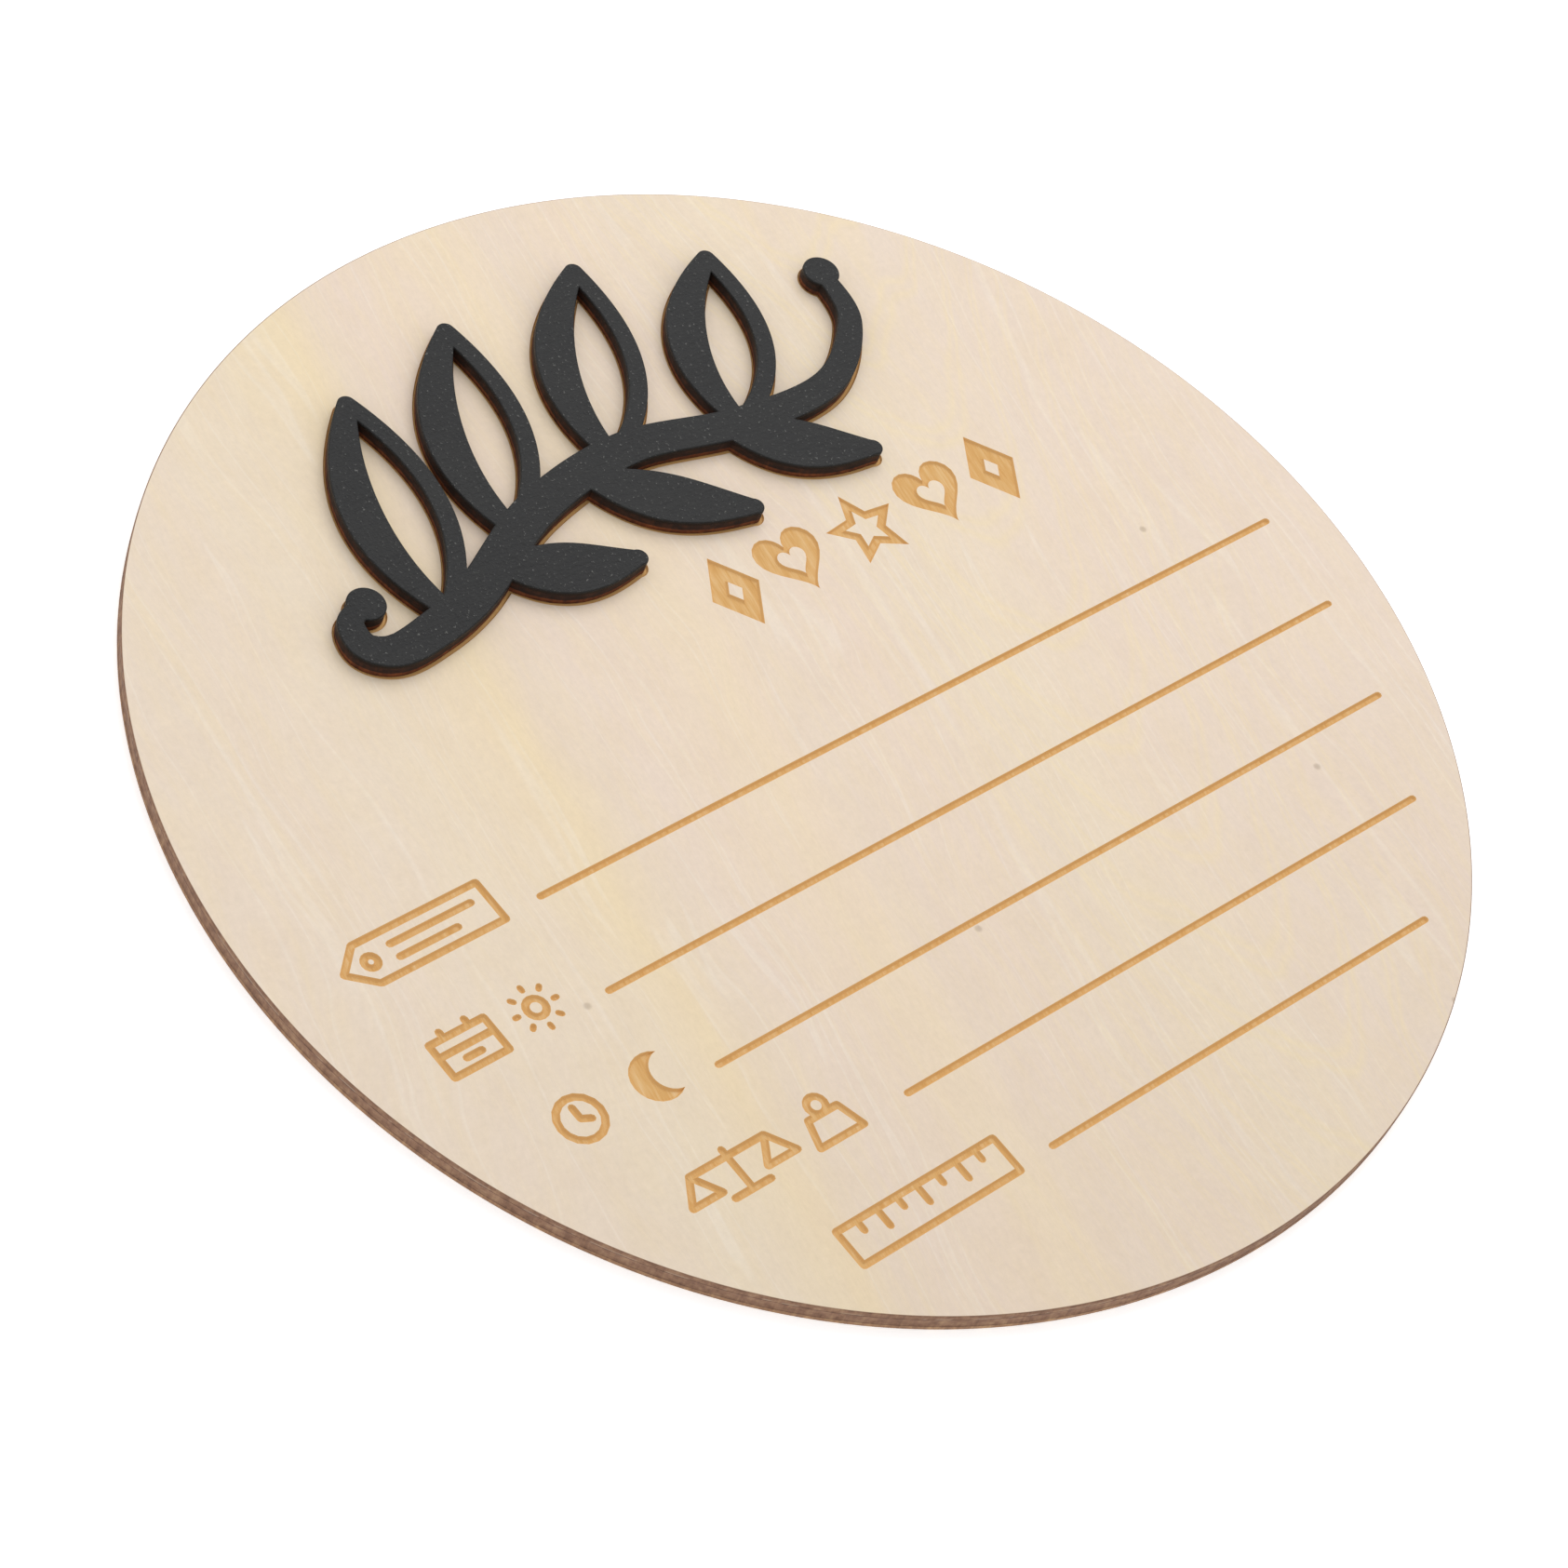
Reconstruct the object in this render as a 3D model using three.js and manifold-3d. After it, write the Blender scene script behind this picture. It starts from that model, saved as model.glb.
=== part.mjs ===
// Round wooden plaque: a laser-cut three-ply disc with ruled lines and pictograms engraved in its face,
// and a black leafy sprig, cut from thinner three-ply, glued into a shallow seat above them.
// Millimetres, +Z out of the face. The origin is the centre of the flat back.
import * as THREE from 'three';
import { mergeVertices } from 'three/addons/utils/BufferGeometryUtils.js';
import Module from 'manifold-3d';

const wasm = await Module();
wasm.setup();

// Driving dimensions --------------------------------------------------------------------------

// Plywood disc.
const DISC_DIAMETER = 150;
const DISC_VENEER = 0.6;
const DISC_CORE = 1.1;
const GLUE_LINE = 0.1;

// Sprig: its own plywood, its outline box and its pen strokes.
const SPRIG_WIDTH = 86;
const SPRIG_HEIGHT = 39;
const SPRIG_CENTRE_X = 0.8;
const SPRIG_VENEER = 0.5;
const SPRIG_CORE = 0.7;
const THIN_STROKE = 2.2;
const THICK_STROKE = 4.8;
const SMALL_LEAF_WIDTH = 7;
const BERRY_DIAMETER = 4.4;
const THICK_SIDE_BOW = 8.6; // how far the middle of a leaf's curve is pulled to its left
const THIN_SIDE_BOW = -9.6;
const SMALL_LEAF_BOW = -2;
const BELLY = 0.46; // where along the leaf it is pulled

// Seat cut for the sprig, and the glue that holds the sprig in it.
const SEAT_DEPTH = 0.3;
const SEAT_GAP_BELOW = 0.45;
const SEAT_GAP_ABOVE = 0.15;
const ADHESIVE_THICKNESS = 0.1;
const ADHESIVE_INSET = 0.3;

// Engraving.
const ENGRAVING_DEPTH = 0.3;
const RULE_WIDTH = 0.85;
const PICTOGRAM_STROKE = 0.9;
const PICTOGRAM_HEIGHT = 6;
const PICTOGRAM_DROP = 0.9; // how far a pictogram's foot lies below the middle of its rule

// Layout, from the top of the disc down.
const TOP_MARGIN = 12.8; // rim to sprig
const BAND_GAP = 1.2; // sprig to the row of motifs
const BAND_HEIGHT = 10.2;
const BAND_RIGHT = 45; // right-hand end of the row of motifs
const FIRST_RULE_GAP = 16.4; // row of motifs to the first rule
const LAST_RULE_MARGIN = 19.9; // last rule to the rim
const RULE_MARGIN = 7.5; // right-hand end of every rule to the rim
const MOTIF_GAP = 1.3;
const MOTIF_BAND = 1.9; // width of the engraved band that draws a motif
const BAND_SHARE = 2.6; // motif bands that a hollow motif's inside is narrower than the motif

// Widths of the five pictograms, their distance from the rim, and the space before each rule.
const ROWS = [
  { picture: nameTag, width: 19.8, rimMargin: 7.7, ruleGap: 4.0 },
  { picture: calendarAndSun, width: 15.9, rimMargin: 8.2, ruleGap: 4.5 },
  { picture: clockAndMoon, width: 15.8, rimMargin: 9.6, ruleGap: 3.3 },
  { picture: balanceAndWeight, width: 23.0, rimMargin: 8.4, ruleGap: 5.6 },
  { picture: ruler, width: 22.8, rimMargin: 8.5, ruleGap: 4.1 },
];

// Number of flats that stand for a curve.
const DISC_FLATS = 160;
const RING_FLATS = 16;
const HEART_FLATS = 36;
const STEM_FLATS = 60;
const LEAF_FLATS = 12;
const CAP_FLATS = 4;
const FLAT_TOLERANCE = 0.001; // points nearer than this to a flat face are left out of it

// Sizes worked out from them ------------------------------------------------------------------

const discRadius = DISC_DIAMETER / 2;
const discThickness = 2 * DISC_VENEER + 2 * GLUE_LINE + DISC_CORE;
const seatFloor = discThickness - SEAT_DEPTH;
const seatClearance = (SEAT_GAP_BELOW + SEAT_GAP_ABOVE) / 2;
const seatCentreY = discRadius - TOP_MARGIN - SPRIG_HEIGHT / 2;
const sprigCentreY = seatCentreY + (SEAT_GAP_BELOW - SEAT_GAP_ABOVE) / 2;
const bandTop = seatCentreY - SPRIG_HEIGHT / 2 - BAND_GAP;
const firstRuleY = bandTop - BAND_HEIGHT - FIRST_RULE_GAP;
const lastRuleY = LAST_RULE_MARGIN - discRadius;
const rulePitch = (firstRuleY - lastRuleY) / (ROWS.length - 1);

// Finishes ------------------------------------------------------------------------------------

const finish = (color, roughness) => new THREE.MeshStandardMaterial({ color, roughness, metalness: 0 });
const PALE_VENEER = finish(0xe9d7bf, 0.62);
const CORE_VENEER = finish(0x9a7558, 0.8);
const SCORCHED_GLUE = finish(0x5d4636, 0.75);
const CLEAR_ADHESIVE = finish(0xc9b58a, 0.4);
const BLACK_PAINT = finish(0x2e2e2f, 0.5);
const SCORCHED_VENEER = finish(0x6e4429, 0.8);

// Solids --------------------------------------------------------------------------------------

// A closed geometry as a solid that can be joined and cut.
function toSolid(geometry) {
  geometry.deleteAttribute('normal');
  geometry.deleteAttribute('uv');
  const merged = mergeVertices(geometry);
  return new wasm.Manifold(new wasm.Mesh({
    numProp: 3,
    vertProperties: new Float32Array(merged.attributes.position.array),
    triVerts: new Uint32Array(merged.index.array),
  }));
}

// The solid back as a geometry.
function toGeometry(solid) {
  const mesh = solid.getMesh();
  const geometry = new THREE.BufferGeometry();
  geometry.setAttribute('position', new THREE.BufferAttribute(mesh.vertProperties, 3));
  geometry.setIndex(new THREE.BufferAttribute(mesh.triVerts, 1));
  geometry.computeVertexNormals();
  return geometry;
}

// A flat sheet with the outline of a shape, from one height to another. An extrusion draws a full
// circle with two flats for each of its segments, so it is asked for half the number of flats.
function sheet(shape, low, high, flats = RING_FLATS) {
  const settings = { depth: high - low, bevelEnabled: false, curveSegments: flats / 2 };
  return new THREE.ExtrudeGeometry(shape, settings).translate(0, 0, low);
}

// One solid from several shapes that overlap or lie apart.
function joinedSheets(shapes, low, high) {
  const solids = shapes.map((shape) => toSolid(sheet(shape, low, high)));
  return solids.reduce((whole, solid) => whole.add(solid)).asOriginal().simplify(FLAT_TOLERANCE);
}

// Shapes --------------------------------------------------------------------------------------

// The mark of a round pen that follows a curve. Its width goes from endWidth at both ends to
// midWidth in the middle as half a sine wave, and grow is added all round.
function stroke(curve, flats, endWidth, midWidth, grow = 0) {
  const left = [];
  const right = [];
  for (let i = 0; i <= flats; i += 1) {
    const u = i / flats;
    const half = (endWidth + (midWidth - endWidth) * Math.sin(Math.PI * u)) / 2 + grow;
    const along = curve.getTangent(u);
    const across = new THREE.Vector2(-along.y, along.x).multiplyScalar(half);
    left.push(curve.getPoint(u).add(across));
    right.unshift(curve.getPoint(u).sub(across));
  }
  const startCap = halfCircle(curve.getPoint(0), right.at(-1));
  const endCap = halfCircle(curve.getPoint(1), left.at(-1));
  return new THREE.Shape([...left, ...endCap, ...right, ...startCap]);
}

// The points between the two ends of a half circle that starts at a point and turns clockwise.
function halfCircle(centre, start) {
  const points = [];
  for (let i = 1; i < CAP_FLATS; i += 1) {
    points.push(start.clone().rotateAround(centre, (-Math.PI * i) / CAP_FLATS));
  }
  return points;
}

// Points along an arc, both ends among them.
function arc(x, y, radius, from, to) {
  const points = [];
  for (let i = 0; i <= RING_FLATS; i += 1) {
    const angle = from + ((to - from) * i) / RING_FLATS;
    points.push(new THREE.Vector2(x + radius * Math.cos(angle), y + radius * Math.sin(angle)));
  }
  return points;
}

function disc(x, y, radius) {
  const shape = new THREE.Shape();
  shape.absarc(x, y, radius, 0, 2 * Math.PI);
  return shape;
}

function ring(x, y, middleRadius, width) {
  const shape = disc(x, y, middleRadius + width / 2);
  const hole = new THREE.Path();
  hole.absarc(x, y, middleRadius - width / 2, 0, 2 * Math.PI, true);
  shape.holes.push(hole);
  return shape;
}

// A straight round-ended groove.
function line(x1, y1, x2, y2, width = PICTOGRAM_STROKE) {
  const path = new THREE.LineCurve(new THREE.Vector2(x1, y1), new THREE.Vector2(x2, y2));
  return stroke(path, 1, width, width);
}

// Grooves from corner to corner of a closed outline, given as x, y, x, y and so on.
function closedLines(...numbers) {
  const grooves = [];
  for (let i = 0; i < numbers.length; i += 2) {
    const next = (i + 2) % numbers.length;
    grooves.push(line(numbers[i], numbers[i + 1], numbers[next], numbers[next + 1]));
  }
  return grooves;
}

// Sprig ---------------------------------------------------------------------------------------

// A point of the sprig, from -1 to 1 across its outline box less half a thin stroke all round.
function sprigPoint(across, up) {
  const reachX = (SPRIG_WIDTH - THIN_STROKE) / 2;
  const reachY = (SPRIG_HEIGHT - THIN_STROKE) / 2;
  return new THREE.Vector2(across * reachX, up * reachY);
}

// A curve from the foot to the tip of a leaf, bowed sideways: positive bow is to the left.
function leafSide(foot, tip, bow) {
  const along = tip.clone().sub(foot);
  const sideways = new THREE.Vector2(-along.y, along.x).normalize();
  const middle = foot.clone().lerp(tip, BELLY).addScaledVector(sideways, bow);
  return new THREE.QuadraticBezierCurve(foot, middle, tip);
}

// The sprig's strokes: a waving stem with a berry at each end, open leaves that stand on it, drawn
// with one thick and one thin side, and small solid leaves that hang below it.
function sprigShapes(grow) {
  const stemPath = new THREE.SplineCurve([
    sprigPoint(-0.9, -0.51),
    sprigPoint(-0.97, -0.57),
    sprigPoint(-0.985, -0.745),
    sprigPoint(-0.925, -0.86),
    sprigPoint(-0.81, -0.85),
    sprigPoint(-0.62, -0.74),
    sprigPoint(-0.3, -0.4),
    sprigPoint(0.05, -0.28),
    sprigPoint(0.4, -0.44),
    sprigPoint(0.72, -0.44),
    sprigPoint(0.93, -0.1),
    sprigPoint(0.973, 0.3),
  ]);
  const openLeaves = [
    { foot: sprigPoint(-0.72, -0.78), tip: sprigPoint(-0.54, 0.76) },
    { foot: sprigPoint(-0.4, -0.48), tip: sprigPoint(-0.14, 0.96) },
    { foot: sprigPoint(0, -0.3), tip: sprigPoint(0.32, 1) },
    { foot: sprigPoint(0.4, -0.44), tip: sprigPoint(0.7, 0.72) },
  ];
  const smallLeaves = [
    { foot: sprigPoint(-0.52, -0.62), tip: sprigPoint(-0.16, -0.98) },
    { foot: sprigPoint(-0.12, -0.32), tip: sprigPoint(0.24, -1) },
    { foot: sprigPoint(0.34, -0.4), tip: sprigPoint(0.68, -0.98) },
  ];
  const shapes = [stroke(stemPath, STEM_FLATS, THIN_STROKE, THICK_STROKE, grow)];
  for (const end of [stemPath.getPoint(0), stemPath.getPoint(1)]) {
    shapes.push(disc(end.x, end.y, BERRY_DIAMETER / 2 + grow));
  }
  for (const { foot, tip } of openLeaves) {
    shapes.push(stroke(leafSide(foot, tip, THICK_SIDE_BOW), LEAF_FLATS, THIN_STROKE, THICK_STROKE, grow));
    shapes.push(stroke(leafSide(foot, tip, THIN_SIDE_BOW), LEAF_FLATS, THIN_STROKE, THIN_STROKE, grow));
  }
  for (const { foot, tip } of smallLeaves) {
    shapes.push(stroke(leafSide(foot, tip, SMALL_LEAF_BOW), LEAF_FLATS, THIN_STROKE, SMALL_LEAF_WIDTH, grow));
  }
  return shapes;
}

// Motifs --------------------------------------------------------------------------------------

// An outline of corner points and the same outline, smaller, as the hole inside it.
function hollow(outline, width, height) {
  const shape = new THREE.Shape(outline(width, height));
  const share = 1 - (BAND_SHARE * MOTIF_BAND) / width;
  shape.holes.push(new THREE.Path(outline(width * share, height * share).reverse()));
  return shape;
}

const diamond = (width, height) => [
  new THREE.Vector2(width / 2, 0),
  new THREE.Vector2(0, height / 2),
  new THREE.Vector2(-width / 2, 0),
  new THREE.Vector2(0, -height / 2),
];

// A five-pointed star, whose width is that of the circle through its points.
function star(width) {
  const points = [];
  for (let i = 0; i < 10; i += 1) {
    const reach = (i % 2 === 0 ? 0.5 : 0.24) * width;
    const angle = Math.PI / 2 + (i * Math.PI) / 5;
    points.push(new THREE.Vector2(reach * Math.cos(angle), reach * Math.sin(angle)));
  }
  return points;
}

// A heart: x is the cube of a sine, and y a sum of four cosines, scaled to the box.
function heart(width, height) {
  const points = [];
  for (let i = 0; i < HEART_FLATS; i += 1) {
    const t = (2 * Math.PI * i) / HEART_FLATS;
    const x = -(Math.sin(t) ** 3);
    const y = (13 * Math.cos(t) - 5 * Math.cos(2 * t) - 2 * Math.cos(3 * t) - Math.cos(4 * t)) / 29;
    points.push(new THREE.Vector2((x * width) / 2, (y + 0.09) * height));
  }
  return points;
}

const MOTIFS = [
  { outline: diamond, width: 6.8, height: BAND_HEIGHT },
  { outline: heart, width: 8.6, height: 8.6 },
  { outline: star, width: BAND_HEIGHT, height: BAND_HEIGHT },
  { outline: heart, width: 8.6, height: 8.6 },
  { outline: diamond, width: 6.8, height: BAND_HEIGHT },
];

// Pictograms ----------------------------------------------------------------------------------
// Each is drawn in a box from (0, 0) to (width, height), measured along the middle of its strokes.

function nameTag(width, height) {
  const slope = 0.55 * height;
  const eyelet = 0.75;
  const textLeft = slope + 3.6;
  const upperLine = 0.66 * height;
  const lowerLine = 0.32 * height;
  return [
    ...closedLines(0, height / 2, slope, height, width, height, width, 0, slope, 0),
    ring(slope + 0.6, height / 2, eyelet, PICTOGRAM_STROKE),
    line(textLeft, upperLine, width - 2, upperLine),
    line(textLeft, lowerLine, width - 5, lowerLine),
  ];
}

function calendarAndSun(width, height) {
  const page = 7;
  const pageTop = height - 0.8;
  const header = pageTop - 1.7;
  const binding = 0.27 * page;
  const dash = 0.14 * page;
  const sunX = width - height / 2;
  const sunY = height / 2;
  const sunRadius = 1.1;
  const rays = 8;
  const rayStart = 2.3;
  const rayEnd = 2.7;
  const rayStroke = 0.7;
  const shapes = [
    ...closedLines(0, 0, page, 0, page, pageTop, 0, pageTop),
    line(0, header, page, header),
    line(binding, pageTop, binding, height),
    line(page - binding, pageTop, page - binding, height),
    line(page / 2 - dash, header / 2, page / 2 + dash, header / 2),
    ring(sunX, sunY, sunRadius, PICTOGRAM_STROKE),
  ];
  for (let i = 0; i < rays; i += 1) {
    const x = Math.cos((2 * Math.PI * i) / rays);
    const y = Math.sin((2 * Math.PI * i) / rays);
    const startX = sunX + rayStart * x;
    const startY = sunY + rayStart * y;
    const endX = sunX + rayEnd * x;
    const endY = sunY + rayEnd * y;
    shapes.push(line(startX, startY, endX, endY, rayStroke));
  }
  return shapes;
}

// A crescent: a circle with a second circle, through its two horns, taken out of its right side.
function crescent(x, y, radius) {
  const hornAngle = 0.3 * Math.PI;
  const biteX = 0.66 * radius;
  const hornX = radius * Math.cos(hornAngle) - biteX;
  const hornY = radius * Math.sin(hornAngle);
  const biteAngle = Math.atan2(hornY, hornX);
  const outer = arc(x, y, radius, hornAngle, 2 * Math.PI - hornAngle);
  const inner = arc(x + biteX, y, Math.hypot(hornX, hornY), 2 * Math.PI - biteAngle, biteAngle);
  return new THREE.Shape([...outer, ...inner.slice(1, -1)]);
}

function clockAndMoon(width, height) {
  const radius = height / 2;
  const moonX = width - 0.9 * radius;
  return [
    ring(radius, radius, radius, PICTOGRAM_STROKE),
    line(radius, radius, radius, 1.56 * radius), // long hand, upright
    line(radius, radius, 1.42 * radius, 0.8 * radius), // short hand, down to the right
    crescent(moonX, radius, radius + PICTOGRAM_STROKE / 2),
  ];
}

function balanceAndWeight(width, height) {
  const reach = 5; // from the post to either end of the beam
  const pan = 2; // half a pan
  const foot = 2.4; // half the foot
  const postX = reach + pan;
  const beamY = 0.84 * height;
  const panY = 0.24 * height;
  const blockFoot = 3; // half the weight's width at its foot, and at its top
  const blockHead = 2;
  const blockX = width - blockFoot;
  const blockTop = 0.62 * height;
  const handle = 1.05;
  const shapes = [
    line(postX - foot, 0, postX + foot, 0),
    line(postX, 0, postX, height),
    line(postX - reach, beamY, postX + reach, beamY),
    ...closedLines(
      blockX - blockFoot, 0,
      blockX + blockFoot, 0,
      blockX + blockHead, blockTop,
      blockX - blockHead, blockTop,
    ),
    ring(blockX, blockTop + handle, handle, PICTOGRAM_STROKE),
  ];
  for (const x of [postX - reach, postX + reach]) {
    shapes.push(...closedLines(x, beamY, x + pan, panY, x - pan, panY));
  }
  return shapes;
}

function ruler(width, height) {
  const marks = 8;
  const top = 0.86 * height;
  const longMark = 0.52 * top;
  const shortMark = 0.3 * top;
  const shapes = closedLines(0, 0, width, 0, width, top, 0, top);
  for (let i = 1; i < marks; i += 1) {
    const x = (i * width) / marks;
    shapes.push(line(x, top, x, top - (i % 2 === 0 ? longMark : shortMark)));
  }
  return shapes;
}

// Face layout ---------------------------------------------------------------------------------

// The rim's distance from the middle, level with a height on the disc.
const rimAt = (y) => Math.sqrt(discRadius ** 2 - y ** 2);

const moved = (geometry, x, y) => toSolid(geometry.translate(x, y, 0));

function engravingSolids(low, high) {
  const solids = [];
  ROWS.forEach(({ picture, width, rimMargin, ruleGap }, row) => {
    const y = firstRuleY - row * rulePitch;
    const left = rimMargin - rimAt(y);
    const inset = PICTOGRAM_STROKE / 2;
    for (const shape of picture(width - 2 * inset, PICTOGRAM_HEIGHT - 2 * inset)) {
      solids.push(moved(sheet(shape, low, high), left + inset, y - PICTOGRAM_DROP + inset));
    }
    const ruleLeft = left + width + ruleGap + RULE_WIDTH / 2;
    const ruleRight = rimAt(y) - RULE_MARGIN - RULE_WIDTH / 2;
    solids.push(toSolid(sheet(line(ruleLeft, y, ruleRight, y, RULE_WIDTH), low, high)));
  });
  let right = BAND_RIGHT;
  for (const { outline, width, height } of MOTIFS.toReversed()) {
    const shape = hollow(outline, width, height);
    solids.push(moved(sheet(shape, low, high), right - width / 2, bandTop - BAND_HEIGHT / 2));
    right -= width + MOTIF_GAP;
  }
  return solids;
}

function faceVeneer() {
  const above = DISC_VENEER + 1;
  const blank = toSolid(sheet(disc(0, 0, discRadius), 0, DISC_VENEER, DISC_FLATS));
  const seat = joinedSheets(sprigShapes(seatClearance), DISC_VENEER - SEAT_DEPTH, above);
  const placedSeat = moved(toGeometry(seat), SPRIG_CENTRE_X, seatCentreY);
  const engraving = engravingSolids(DISC_VENEER - ENGRAVING_DEPTH, above);
  const grooves = engraving.reduce((whole, solid) => whole.add(solid));
  return toGeometry(blank.subtract(placedSeat).subtract(grooves));
}

// Assembly ------------------------------------------------------------------------------------

// Adds a stack of sheets to a group, each resting on the one before, and returns its top.
function stack(group, layers) {
  let height = 0;
  for (const { name, thickness, geometry, material } of layers) {
    const mesh = new THREE.Mesh(geometry, material);
    mesh.name = name;
    mesh.position.z = height;
    group.add(mesh);
    height += thickness;
  }
  return height;
}

const discSheet = (name, thickness, material) => ({
  name,
  thickness,
  material,
  geometry: sheet(disc(0, 0, discRadius), 0, thickness, DISC_FLATS),
});

const sprigOutline = toGeometry(joinedSheets(sprigShapes(0), 0, 1));
const sprigSheet = (name, thickness, material) => ({
  name,
  thickness,
  material,
  geometry: sprigOutline.clone().scale(1, 1, thickness),
});

const plaqueDisc = new THREE.Group();
stack(plaqueDisc, [
  discSheet('disc_back_veneer', DISC_VENEER, PALE_VENEER),
  discSheet('disc_lower_glue_line', GLUE_LINE, SCORCHED_GLUE),
  discSheet('disc_core_veneer', DISC_CORE, CORE_VENEER),
  discSheet('disc_upper_glue_line', GLUE_LINE, SCORCHED_GLUE),
  { name: 'disc_face_veneer', thickness: DISC_VENEER, material: PALE_VENEER, geometry: faceVeneer() },
]);

const adhesiveOutline = toGeometry(joinedSheets(sprigShapes(-ADHESIVE_INSET), 0, ADHESIVE_THICKNESS));
const sprig = new THREE.Group();
sprig.position.set(SPRIG_CENTRE_X, sprigCentreY, seatFloor);
stack(sprig, [
  {
    name: 'sprig_adhesive',
    thickness: ADHESIVE_THICKNESS,
    material: CLEAR_ADHESIVE,
    geometry: adhesiveOutline,
  },
  sprigSheet('sprig_back_veneer', SPRIG_VENEER, SCORCHED_VENEER),
  sprigSheet('sprig_lower_glue_line', GLUE_LINE, SCORCHED_GLUE),
  sprigSheet('sprig_core_veneer', SPRIG_CORE, SCORCHED_VENEER),
  sprigSheet('sprig_upper_glue_line', GLUE_LINE, SCORCHED_GLUE),
  sprigSheet('sprig_face_veneer', SPRIG_VENEER, BLACK_PAINT),
]);

const plaque = new THREE.Group();
plaque.add(plaqueDisc, sprig);

export default plaque;
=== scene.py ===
# %% [markdown]
# # A round wooden plaque with a black leafy sprig
# The real object is a laser-cut sign: a round of thin three-ply, engraved with ruled lines and
# small pictures, and a second cut-out of thinner ply, painted black, glued into a shallow seat on
# its face. The CAD model is loaded first, as the fixed frame. Every piece below is built in metres
# around it, and keeps its place by asking the frame where a sheet lies.

import math

import bmesh
import bpy
import numpy as np
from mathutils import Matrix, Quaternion, Vector
from mathutils.geometry import delaunay_2d_cdt


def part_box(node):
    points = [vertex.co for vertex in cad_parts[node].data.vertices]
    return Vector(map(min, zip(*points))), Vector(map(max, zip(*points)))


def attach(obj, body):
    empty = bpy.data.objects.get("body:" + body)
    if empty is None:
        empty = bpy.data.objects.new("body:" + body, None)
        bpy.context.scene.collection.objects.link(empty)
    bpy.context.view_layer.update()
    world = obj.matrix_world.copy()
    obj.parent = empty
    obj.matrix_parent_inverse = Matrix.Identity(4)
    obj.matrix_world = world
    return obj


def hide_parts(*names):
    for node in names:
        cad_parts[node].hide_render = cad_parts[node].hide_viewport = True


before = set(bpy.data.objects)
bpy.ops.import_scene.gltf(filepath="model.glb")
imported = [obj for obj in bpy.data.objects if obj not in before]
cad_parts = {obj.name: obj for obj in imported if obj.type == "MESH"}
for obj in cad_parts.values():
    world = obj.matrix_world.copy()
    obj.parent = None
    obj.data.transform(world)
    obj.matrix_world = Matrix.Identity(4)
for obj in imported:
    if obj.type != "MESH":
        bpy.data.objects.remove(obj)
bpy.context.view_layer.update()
MM = 0.001

face_low, face_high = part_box("disc_face_veneer")
sprig_low, sprig_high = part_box("sprig_face_veneer")
disc_radius = (face_high.x - face_low.x) / 2
face_top = face_high.z
print("disc", round(2 * disc_radius / MM, 2), "mm across,", round(face_top / MM, 2), "mm thick")
print("the sprig stands", round((sprig_high.z - face_top) / MM, 2), "mm above the face")

# %% [markdown]
# ## Camera
# A long lens, a little over three disc widths away, looks down on the face. The camera is placed by
# the direction that it looks from, turned about its own axis by a roll, and aimed at a point of the
# face a little off the middle of the disc, so that its lens has no need of a shift.

# %% Camera
LENS = 106.15  # mm, on a sensor that is 36 mm wide
AZIMUTH = math.radians(-60.03)
ELEVATION = math.radians(48.87)
ROLL = math.radians(25.13)
DISTANCE = 6.490 * disc_radius
aim = Vector((-0.1366 * disc_radius, -0.0799 * disc_radius, face_top))

towards_camera = Vector((
    math.sin(AZIMUTH) * math.cos(ELEVATION),
    -math.cos(AZIMUTH) * math.cos(ELEVATION),
    math.sin(ELEVATION),
))
lens = bpy.data.cameras.new("camera")
lens.lens = LENS
lens.sensor_width = 36
lens.clip_start = 0.01
camera = bpy.data.objects.new("camera", lens)
camera.location = aim + towards_camera * DISTANCE
camera.rotation_mode = "QUATERNION"
level_look = (-towards_camera).to_track_quat("-Z", "Y")
camera.rotation_quaternion = level_look @ Quaternion((0, 0, 1), ROLL)
scene = bpy.context.scene
scene.collection.objects.link(camera)
scene.camera = camera
print("camera at", [round(value, 3) for value in camera.location], "m")

# %% [markdown]
# ## Outlines as arrays
# Every part of this sign is a flat sheet with a cut edge, so the whole model rests on one idea: an
# outline is an array of points with an array of edges, each edge with the inside on its left. A
# stroke of a pen gives a closed outline, and several outlines are joined by a Delaunay
# triangulation that knows which of its triangles lie in which outline. All lengths here are in
# millimetres, because the triangulation works best with numbers near one.

# %% Triangulate, and find the border of triangles
SAME_POINT = 1e-4  # mm: the triangulation takes nearer points for one


def triangulate(points, edges, loops):
    """Constrained Delaunay: corners, each one's old point, triangles, and loops round each."""
    corners = [Vector(point) for point in points.tolist()]
    found = delaunay_2d_cdt(corners, edges.tolist(), loops, 0, SAME_POINT)
    new_points = np.array([tuple(corner) for corner in found[0]])
    old = np.array([old[0] if old else -1 for old in found[3]])
    holders = np.array([len(loops_round_it) for loops_round_it in found[5]])
    return new_points, old, np.array(found[2]), holders


def border(triangles):
    """Edges of triangles that have no edge the other way: the inside is on their left."""
    edges = np.concatenate([triangles[:, [0, 1]], triangles[:, [1, 2]], triangles[:, [2, 0]]])
    size = triangles.max() + 1
    there = edges[:, 0] * size + edges[:, 1]
    back = edges[:, 1] * size + edges[:, 0]
    return edges[~np.isin(there, back)]


two_triangles = np.array([[0, 1, 2], [0, 2, 3]])
print("two triangles that share an edge have", len(border(two_triangles)), "edges on their border")

# %% Clean a border, and join outlines
SHORTEST_EDGE = 0.06  # mm


def only_used(points, edges):
    """The same edges, with only the points that they use."""
    used, numbers = np.unique(edges, return_inverse=True)
    return points[used], numbers.reshape(edges.shape)


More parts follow.
